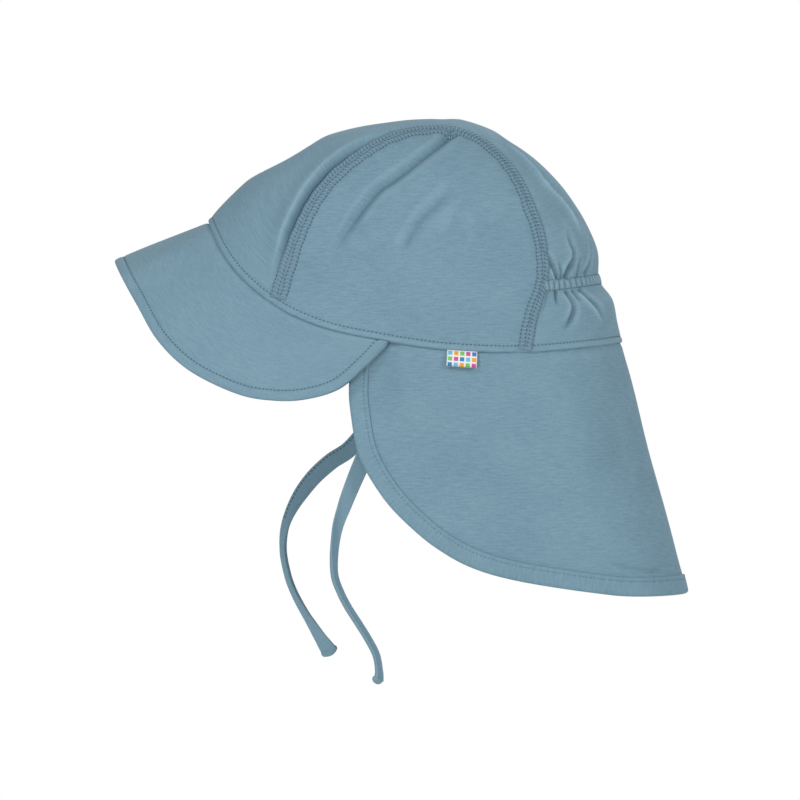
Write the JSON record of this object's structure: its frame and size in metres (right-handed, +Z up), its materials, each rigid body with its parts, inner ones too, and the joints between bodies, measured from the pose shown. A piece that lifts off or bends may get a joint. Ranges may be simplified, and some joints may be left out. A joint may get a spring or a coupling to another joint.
{
  "type": "child's sun cap with neck flap",
  "caption": "Soft jersey sun cap with panelled crown, curved peak, rounded neck flap, gathered elastic back, small label tab and flat ties",
  "frame": {"origin": "middle of the head opening, level with the sides of the rim, where the cap sits on the head", "axes": "+Z up, the cap faces -Y, +X to the wearer's left"},
  "size_m": [0.1412, 0.2626, 0.2578],
  "materials": {
    "jersey": "dusty blue cotton jersey with faint slubs",
    "jersey_binding": "the same jersey folded and stitched",
    "elastic": "woven white elastic tape",
    "label_ribbon": "woven satin ribbon with small coloured squares"
  },
  "bodies": {
    "root": {"middle_panel": "jersey", "side_panel_left": "jersey", "side_panel_right": "jersey", "peak": "jersey", "neck_flap": "jersey", "flap_hem": "jersey_binding", "back_elastic": "elastic", "label_tab": "label_ribbon", "tie_left": "jersey_binding", "tie_right": "jersey_binding"}
  },
  "joints": []
}
